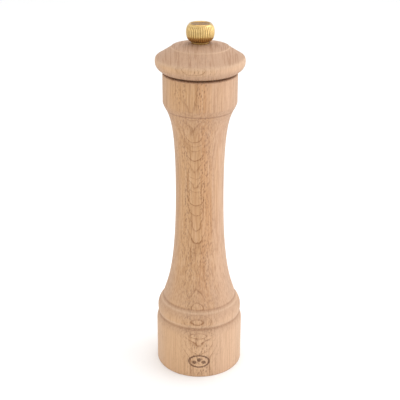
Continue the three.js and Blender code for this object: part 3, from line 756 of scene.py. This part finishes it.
def steel(name, tint, stain, roughness, along=(9, 9, 0.4), turned=False):
    metal = Finish(name)
    radius = metal.math("SQRT", metal.x * metal.x + metal.y * metal.y)
    if turned:
        brushed_place = metal.vector(radius * along[0], metal.z * along[1], 0)
    else:
        brushed_place = metal.vector(metal.x * along[0], metal.y * along[1], metal.z * along[2])
    brushed = metal.noise(brushed_place, detail=3, roughness=0.65)
    clouds = metal.noise(metal.mm, scale=0.28, detail=4)
    specks = metal.noise(metal.mm, scale=3.5, detail=2)
    colour = metal.mix(metal.between(clouds, 0.42, 0.78) * 0.7, tint, stain)
    colour = metal.mix(metal.between(specks, 0.62, 0.8) * 0.35, colour, stain)
    return metal.surface(
        base_color=colour,
        metallic=1.0,
        roughness=roughness
        + metal.between(brushed, 0.3, 0.75) * 0.16
        + metal.between(clouds, 0.4, 0.8) * 0.12,
        normal=metal.bump(brushed, 0.025),
    )


drawn_steel = steel("drawn_steel", (0.62, 0.62, 0.61, 1), (0.42, 0.41, 0.39, 1), 0.24)
pressed_steel = steel("pressed_steel", (0.60, 0.61, 0.61, 1), (0.44, 0.43, 0.41, 1), 0.28, (5, 5), True)
cutter_steel = steel("cutter_steel", (0.30, 0.31, 0.33, 1), (0.17, 0.16, 0.155, 1), 0.36, (6, 3), True)
spring_wire = steel("spring_wire", (0.50, 0.50, 0.51, 1), (0.33, 0.31, 0.29, 1), 0.26, (4, 4, 4))
zinc_plate = steel("zinc_plate", (0.66, 0.68, 0.70, 1), (0.55, 0.54, 0.46, 1), 0.30, (6, 6), True)
print("steels:", drawn_steel.name, pressed_steel.name, cutter_steel.name, spring_wire.name, zinc_plate.name)

# %% [markdown]
# ## The spindle
# A square steel bar runs through the mill, so that the head can turn the grinding nut. Its top is cut
# round and threaded for the knob; its foot is a round spigot with a groove for the clip. The thread
# is a three-cornered ridge that spin carries round and up at once.

# %% Make the spindle
SPINDLE_SIDE = 5.0
SPIGOT_RADIUS = 2.3
CLIP_GROOVE_RADIUS = 1.7
THREAD_RADIUS = 2.45
THREAD_DEPTH = 0.38
THREAD_PITCH = 0.8
STEPS_PER_TURN = 28
spindle_top = top("spindle")
spindle_foot = bottom("spindle")
nut_foot = bottom("grinding_nut")
thread_foot = head_top - 5.0

spindle_mesh = turn(
    Outline(0, thread_foot - 0.4)
    .line((THREAD_RADIUS - THREAD_DEPTH, thread_foot - 0.4))
    .line((THREAD_RADIUS - THREAD_DEPTH, spindle_top - 0.4))
    .line((THREAD_RADIUS - THREAD_DEPTH - 0.4, spindle_top), (0, spindle_top)),
    32,
)
clip_top = top("nut_clip") + SEAT
clip_foot = bottom("nut_clip") - SEAT
spigot = turn(
    Outline(0, spindle_foot)
    .line((2.0, spindle_foot), (SPIGOT_RADIUS, spindle_foot + 0.3), (SPIGOT_RADIUS, clip_foot))
    .line((CLIP_GROOVE_RADIUS, clip_foot), (CLIP_GROOVE_RADIUS, clip_top + 0.2))
    .line((SPIGOT_RADIUS, clip_top + 0.2), (SPIGOT_RADIUS, nut_foot + 1), (0, nut_foot + 1)),
    32,
)
spigot_copy = bpy.data.meshes.new("spigot")
spigot.to_mesh(spigot_copy)
spigot.free()
spindle_mesh.from_mesh(spigot_copy)
bpy.data.meshes.remove(spigot_copy)

bar_length = thread_foot - nut_foot
bar = bmesh.ops.create_cube(spindle_mesh, size=1)["verts"]
bmesh.ops.scale(spindle_mesh, verts=bar, vec=(SPINDLE_SIDE * MM, SPINDLE_SIDE * MM, bar_length * MM))
bmesh.ops.translate(spindle_mesh, verts=bar, vec=(0, 0, (nut_foot + bar_length / 2) * MM))
bar_edges = list({edge for vert in bar for edge in vert.link_edges})
bmesh.ops.bevel(
    spindle_mesh, geom=bar_edges, offset=0.3 * MM, offset_type="OFFSET", segments=2, profile=0.5,
    affect="EDGES", clamp_overlap=True, material=-1,
)

ridge_root = THREAD_RADIUS - THREAD_DEPTH - 0.1
ridge_points = [
    spindle_mesh.verts.new((r * MM, 0, (thread_foot + z) * MM))
    for r, z in ((ridge_root, 0.04), (THREAD_RADIUS, 0.4), (ridge_root, 0.76))
]
ridge_edges = [spindle_mesh.edges.new((ridge_points[n], ridge_points[(n + 1) % 3])) for n in range(3)]
thread_turns = int((spindle_top - thread_foot - 1.4) / THREAD_PITCH)
bmesh.ops.spin(
    spindle_mesh, geom=ridge_points + ridge_edges, cent=(0, 0, 0), axis=(0, 0, 1),
    dvec=(0, 0, THREAD_PITCH * MM / STEPS_PER_TURN), angle=WHOLE_TURN * thread_turns,
    steps=STEPS_PER_TURN * thread_turns,
)
tidy(spindle_mesh)
fit(spindle_mesh, "threaded_spindle", drawn_steel, "spindle", "spindle")
print("the thread has", thread_turns, "turns")

# %% [markdown]
# ## The cutters
# Nut and ring grind between them. In the feed part their few deep teeth draw the peppercorns down;
# in the grinding part many fine teeth cut them. Both kinds run in a spiral. The teeth are a saw wave
# in the radius, cut after the spin like the knob's flutes, and the ring's run the other way round.

# %% Cut the nut and the ring
FINE_TEETH_NUT, COARSE_TEETH_NUT = 36, 12
FINE_TEETH_RING, COARSE_TEETH_RING = 42, 14
FINE_DEPTH = 0.45
COARSE_DEPTH_NUT, COARSE_DEPTH_RING = 1.1, 0.56
POINTS_PER_TOOTH = 10
NUT_TOP_RADIUS = 5.44
GRIND_HEIGHT = 5.2
GRIND_SLOPE = 0.44
GRIND_GAP = 0.35
TEETH_TURN = math.pi / 4
TEETH_TURN_HEIGHT = 12
ring_foot = bottom("grinding_ring")
ring_top = top("grinding_ring")
ring_radius = 12.6
flange_radius = reach("grinding_ring")
outlet_radius = ring_radius - 1.7
nut_top = top("grinding_nut")
pinch_height = ring_foot + GRIND_HEIGHT
pinch_radius = outlet_radius - GRIND_SLOPE * GRIND_HEIGHT


def ring_tips(height):
    if height < pinch_height:
        return outlet_radius - GRIND_SLOPE * (height - ring_foot)
    throat = (height - pinch_height) / (ring_top - pinch_height)
    return pinch_radius + (outlet_radius + 0.3 - pinch_radius) * math.sqrt(throat)


def nut_tips(height):
    if height < pinch_height:
        return ring_tips(height) - GRIND_GAP
    share = (height - pinch_height) / (nut_top - pinch_height)
    return (pinch_radius - GRIND_GAP) * (1 - share) + NUT_TOP_RADIUS * share


def saw(angle, teeth):
    """How deep a saw-shaped tooth is cut at an angle, from 0 at its tip to 1."""
    phase = (angle / WHOLE_TURN * teeth) % 1
    return phase / 0.2 if phase < 0.2 else (1 - phase) / 0.8


def tooth_depth(angle, height, fine_teeth, coarse_teeth, deepest):
    grinding = min(1, max(0, (pinch_height + 1 - height) / 2))
    fine = FINE_DEPTH * saw(angle, fine_teeth)
    coarse = deepest * saw(angle, coarse_teeth)
    return grinding * fine + (1 - grinding) * coarse


def cut_nut(radius, angle, height):
    if radius < nut_tips(height) - 0.6:
        return radius, angle
    depth = tooth_depth(angle, height, FINE_TEETH_NUT, COARSE_TEETH_NUT, COARSE_DEPTH_NUT)
    return radius - depth, angle + (height - ring_foot) / TEETH_TURN_HEIGHT * TEETH_TURN


def cut_ring(radius, angle, height):
    if radius > ring_tips(height) + 0.2:
        return radius, angle
    depth = tooth_depth(angle, height, FINE_TEETH_RING, COARSE_TEETH_RING, COARSE_DEPTH_RING)
    return radius + depth, angle - (height - ring_foot) / TEETH_TURN_HEIGHT * TEETH_TURN


def heights(low, high, steps):
    return [low + (high - low) * n / steps for n in range(steps + 1)]


nut_line = Outline(0, nut_foot).line((4.4, nut_foot), (4.8, nut_foot + 0.35), (7.4, nut_foot + 0.35))
nut_line.line((7.8, nut_foot), *[(nut_tips(z), z) for z in heights(nut_foot, nut_top, 22)], (0, nut_top))
nut_mesh = turn(nut_line, FINE_TEETH_NUT * POINTS_PER_TOOTH)
reshape(nut_mesh, cut_nut)
fit(nut_mesh, "cut_grinding_nut", cutter_steel, "spindle", "grinding_nut")

ring_line = Outline(ring_tips(ring_foot), ring_foot)
ring_line.line(*[(ring_tips(z), z) for z in heights(ring_foot, ring_top, 24)[1:]])
ring_line.line((ring_radius - 0.4, ring_top), (ring_radius, ring_top - 0.4), (ring_radius, ring_foot + 2))
ring_line.line((flange_radius, ring_foot + 2), (flange_radius, ring_foot))
ring_mesh = turn(ring_line, FINE_TEETH_RING * POINTS_PER_TOOTH, closed=True)
reshape(ring_mesh, cut_ring)
fit(ring_mesh, "cut_grinding_ring", cutter_steel, "barrel", "grinding_ring")

# %% [markdown]
# ## Plates and washers
# The base plate is a flat ring, so it is turned like the rest. The drive plate and the two washers
# have a square hole that fits the spindle: a square loop with as many points as the outer circle is
# bridged to it, and the flat ring this gives is made solid.

# %% Press the plates


def square_holed_disc(radius, low, high, side, segments=64):
    bm = bmesh.new()
    rim = bmesh.ops.create_circle(bm, segments=segments, radius=radius * MM)["verts"]
    hole = bmesh.ops.create_circle(bm, segments=4, radius=side * MM / math.sqrt(2))["verts"]
    bmesh.ops.rotate(bm, verts=hole, cent=(0, 0, 0), matrix=Matrix.Rotation(math.pi / 4, 3, "Z"))
    hole_edges = list({edge for vert in hole for edge in vert.link_edges})
    bmesh.ops.subdivide_edges(bm, edges=hole_edges, cuts=segments // 4 - 1)
    bmesh.ops.bridge_loops(bm, edges=bm.edges)
    bmesh.ops.translate(bm, verts=bm.verts, vec=(0, 0, low * MM))
    grown = bmesh.ops.extrude_face_region(bm, geom=bm.faces[:])["geom"]
    lifted = [item for item in grown if isinstance(item, bmesh.types.BMVert)]
    bmesh.ops.translate(bm, verts=lifted, vec=(0, 0, (high - low) * MM))
    bmesh.ops.recalc_face_normals(bm, faces=bm.faces)
    return bm


OUTLET_HOLE = outlet_radius + 0.5
plate_foot, plate_top = bottom("base_plate"), top("base_plate")
plate_line = Outline(OUTLET_HOLE, plate_foot).line((reach("base_plate"), plate_foot))
plate_line.line((reach("base_plate"), plate_top), (OUTLET_HOLE, plate_top))
plate_mesh = turn(plate_line, 128, closed=True)
ease(plate_mesh, 0.22, segments=3)
fit(plate_mesh, "pressed_base_plate", pressed_steel, "barrel", "base_plate")

SQUARE_HOLE = SPINDLE_SIDE + 0.2
for node, name, finish, slot, body in (
    ("drive_plate", "pressed_drive_plate", pressed_steel, "bright_steel", "head"),
    ("lower_spring_washer", "pressed_lower_washer", zinc_plate, "zinc_steel", "spindle"),
    ("upper_spring_washer", "pressed_upper_washer", zinc_plate, "zinc_steel", "drive"),
):
    disc = square_holed_disc(reach(node), bottom(node), top(node), SQUARE_HOLE)
    ease(disc, 0.14)
    fit(disc, name, finish, body, node)

# %% [markdown]
# ## The bridge
# A strap bent from sheet stands over the ring. Its crossbar guides the spindle and holds the spring
# up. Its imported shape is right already, so a copy is taken, its loose triangles are merged, flat
# areas are made single faces again, and the edges are eased.

# %% Ease the bridge's edges
bridge_mesh = bmesh.new()
bridge_mesh.from_mesh(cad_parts["bearing_bridge"].data)
bmesh.ops.remove_doubles(bridge_mesh, verts=bridge_mesh.verts, dist=0.001 * MM)
bmesh.ops.dissolve_limit(
    bridge_mesh, angle_limit=math.radians(1), verts=bridge_mesh.verts, edges=bridge_mesh.edges
)
ease(bridge_mesh, 0.15, degrees=40)
fit(bridge_mesh, "bent_bridge", pressed_steel, "barrel", "bearing_bridge")

# %% [markdown]
# ## The clip
# A flat clip snaps into the spigot's groove and keeps the nut on. It is a ring with a mouth and
# three inner prongs: a rectangle swept most of the way round, whose inner edge then steps back
# between the prongs.

# %% Bend the clip
CLIP_MOUTH = 0.45
CLIP_INNER = 1.8
PRONG_DEPTH = 0.85
LIP_ANGLE = 0.85
BACK_PRONG_ANGLE = 0.4
clip_radius = 4.0
clip_line = Outline(CLIP_INNER, bottom("nut_clip")).line((clip_radius, bottom("nut_clip")))
clip_line.line((clip_radius, top("nut_clip")), (CLIP_INNER, top("nut_clip")))
clip_mesh = turn(clip_line, 72, closed=True, angle=WHOLE_TURN - 2 * CLIP_MOUTH)
bmesh.ops.rotate(
    clip_mesh, verts=clip_mesh.verts, cent=(0, 0, 0), matrix=Matrix.Rotation(CLIP_MOUTH, 3, "Z")
)


def prongs(radius, angle, height):
    """Leaves the inner edge alone at the mouth's two lips and opposite the mouth."""
    turn_from_mouth = abs(angle)
    at_prong = turn_from_mouth < LIP_ANGLE or turn_from_mouth > math.pi - BACK_PRONG_ANGLE
    return (radius if radius > 3 or at_prong else radius + PRONG_DEPTH), angle


reshape(clip_mesh, prongs)
ease(clip_mesh, 0.07, degrees=60)
fit(clip_mesh, "bent_nut_clip", spring_wire, "spindle", "nut_clip")

# %% [markdown]
# ## The spring
# The spring pushes nut and spindle down, away from the ring. It is a wire circle that spin carries
# round and up, in three stretches: a close end coil, the open coils, and a close end coil again. In
# the real mill its top stays with the drive and its foot with the nut; here it is one fixed piece that
# rides on no body and does not stretch.

# %% Wind the spring
WIRE_RADIUS = 0.55
END_COIL_TURNS = 1.0
OPEN_TURNS = 3.0
spring_foot, spring_top = bottom("setting_spring"), top("setting_spring")
coil_radius = reach("setting_spring") - WIRE_RADIUS

spring_mesh = bmesh.new()
wire = bmesh.ops.create_circle(spring_mesh, segments=12, radius=WIRE_RADIUS * MM)["verts"]
bmesh.ops.rotate(spring_mesh, verts=wire, cent=(0, 0, 0), matrix=Matrix.Rotation(math.pi / 2, 3, "X"))
bmesh.ops.translate(
    spring_mesh, verts=wire, vec=(coil_radius * MM, 0, (spring_foot + WIRE_RADIUS) * MM)
)
end_rise = 2 * WIRE_RADIUS * 1.04 * END_COIL_TURNS
open_rise = spring_top - spring_foot - 2 * WIRE_RADIUS - 2 * end_rise
tip = wire + spring_mesh.edges[:]
for turns, rise in ((END_COIL_TURNS, end_rise), (OPEN_TURNS, open_rise), (END_COIL_TURNS, end_rise)):
    steps = round(turns * 40)
    tip = bmesh.ops.spin(
        spring_mesh, geom=tip, cent=(0, 0, 0), axis=(0, 0, 1), dvec=(0, 0, rise * MM / steps),
        angle=WHOLE_TURN * turns, steps=steps,
    )["geom_last"]
tidy(spring_mesh)
spring = make_object(spring_mesh, "wound_setting_spring", spring_wire)
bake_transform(spring)
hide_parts("setting_spring")
print("the spring's open coils rise", round(open_rise / OPEN_TURNS, 2), "mm a turn")

# %% [markdown]
# ## Screws and rivets
# Three wood screws hold the base plate and three more the drive plate. Their heads are low domes with
# a cross recess: a grid of nine squares loses its corners, the cross is pushed into the head, and
# its outline is bridged to the turned dome. The rivets that hold the bridge are plainly turned.

# %% Make the fasteners
SCREW_HEAD = 0.9
SCREW_HEAD_RADIUS = 2.0
SCREW_RADIUS = 1.1
SCREW_POINT = 2
CROSS_LENGTH = 1.15
CROSS_WIDTH = 0.27
CROSS_DEPTH = 0.5


def screw(length):
    """A screw that points up, with the face of its head at height 0."""
    dome = Outline(1.35, 0).bow((1.9, 0.1), (SCREW_HEAD_RADIUS, 0.55), 4)
    dome.line((SCREW_HEAD_RADIUS, SCREW_HEAD), (SCREW_RADIUS, SCREW_HEAD))
    dome.line((SCREW_RADIUS, length - SCREW_POINT), (0, length))
    bm = bmesh.new()
    points = [bm.verts.new((r * MM, 0, z * MM)) for r, z in dome.points]
    edges = [bm.edges.new(pair) for pair in zip(points, points[1:])]
    bmesh.ops.spin(
        bm, geom=points + edges, cent=(0, 0, 0), axis=(0, 0, 1), angle=WHOLE_TURN, steps=32, use_merge=True
    )
    bmesh.ops.remove_doubles(bm, verts=bm.verts, dist=0.001 * MM)
    rim = [edge for edge in bm.edges if edge.is_boundary]
    cross = bmesh.ops.create_grid(bm, x_segments=3, y_segments=3, size=CROSS_LENGTH * MM)["verts"]
    for vert in cross:
        for axis in (0, 1):
            if abs(vert.co[axis]) < 0.9 * CROSS_LENGTH * MM:
                vert.co[axis] = math.copysign(CROSS_WIDTH * MM, vert.co[axis])
    faces = list({face for vert in cross for face in vert.link_faces})
    middles = [(face, face.calc_center_median()) for face in faces]
    corners = [face for face, mid in middles if min(abs(mid.x), abs(mid.y)) > CROSS_WIDTH * MM]
    bmesh.ops.delete(bm, geom=corners, context="FACES")
    faces = [face for face in faces if face.is_valid]
    outline = [edge for edge in {e for f in faces for e in f.edges} if edge.is_boundary]
    bmesh.ops.bridge_loops(bm, edges=rim + outline)
    floor = bmesh.ops.extrude_face_region(bm, geom=faces)["geom"]
    sunk = [item for item in floor if isinstance(item, bmesh.types.BMVert)]
    bmesh.ops.translate(bm, verts=sunk, vec=(0, 0, CROSS_DEPTH * MM))
    bmesh.ops.scale(bm, verts=sunk, vec=(0.75, 0.75, 1))
    bmesh.ops.delete(bm, geom=[face for face in faces if face.is_valid], context="FACES")
    tidy(bm)
    return bm


screw_length = top("base_plate_screw_1") - bottom("base_plate_screw_1")
for series, body in (("base_plate_screw", "barrel"), ("drive_plate_screw", "head")):
    for number in (1, 2, 3):
        node = f"{series}_{number}"
        place = middle(node)
        screw_mesh = screw(screw_length)
        spun = Matrix.Rotation(0.6 * number + (0.3 if body == "head" else 0), 3, "Z")
        bmesh.ops.rotate(screw_mesh, verts=screw_mesh.verts, cent=(0, 0, 0), matrix=spun)
        bmesh.ops.translate(
            screw_mesh, verts=screw_mesh.verts, vec=(place.x, place.y, bottom(node) * MM)
        )
        fit(screw_mesh, f"{node}_driven", zinc_plate, body, node)

RIVET_RADIUS = 0.8
RIVET_HEAD_RADIUS = 1.25
RIVET_HEAD = 0.7
for side in ("left", "right"):
    node = f"bridge_rivet_{side}"
    low, high = bottom(node), top(node)
    rivet_line = Outline(0, low).bow((1.15, low), (RIVET_HEAD_RADIUS, low + 0.45), 5)
    rivet_line.line((RIVET_HEAD_RADIUS, low + RIVET_HEAD), (RIVET_RADIUS, low + RIVET_HEAD))
    rivet_line.line((RIVET_RADIUS, high - RIVET_HEAD), (RIVET_HEAD_RADIUS, high - RIVET_HEAD))
    rivet_line.line((RIVET_HEAD_RADIUS, high - 0.45)).bow((1.15, high), (0, high), 5)
    rivet_mesh = turn(rivet_line, 28)
    bmesh.ops.translate(rivet_mesh, verts=rivet_mesh.verts, vec=(middle(node).x, 0, 0))
    fit(rivet_mesh, f"{node}_set", zinc_plate, "barrel", node)

# %% [markdown]
# ## The floor
# A plain white sheet, large enough to fill the view to the top. It isn't part of the mill, so it is
# only staged. A trace of variation keeps it from looking like a flat colour. The sheet is clear when
# seen from below, and a round hole under the mill lets light reach the works, so that the underside
# can be looked at without moving anything. The barrel stands on the hole's rim and hides it.

# %% Lay the floor
FLOOR_RADIUS = 4.0
FLOOR_HOLE = (base_radius - 0.5) * MM
paper = Finish("paper")
paper_tooth = paper.noise(paper.mm, scale=0.02, detail=3)
paper_finish = paper.surface(
    clear_from_behind=True,
    base_color=paper.mix(paper_tooth, (0.93, 0.93, 0.93, 1), (0.95, 0.95, 0.95, 1)),
    roughness=0.9,
    specular_ior_level=0.1,
    normal=paper.bump(paper_tooth, 0.01),
)
floor_mesh = bmesh.new()
for circle_radius in (FLOOR_HOLE, FLOOR_RADIUS):
    bmesh.ops.create_circle(floor_mesh, cap_ends=False, segments=96, radius=circle_radius)
bmesh.ops.bridge_loops(floor_mesh, edges=floor_mesh.edges[:])
facing_down = [face for face in floor_mesh.faces if face.normal.z < 0]
bmesh.ops.reverse_faces(floor_mesh, faces=facing_down)
floor = make_object(floor_mesh, "floor", paper_finish)
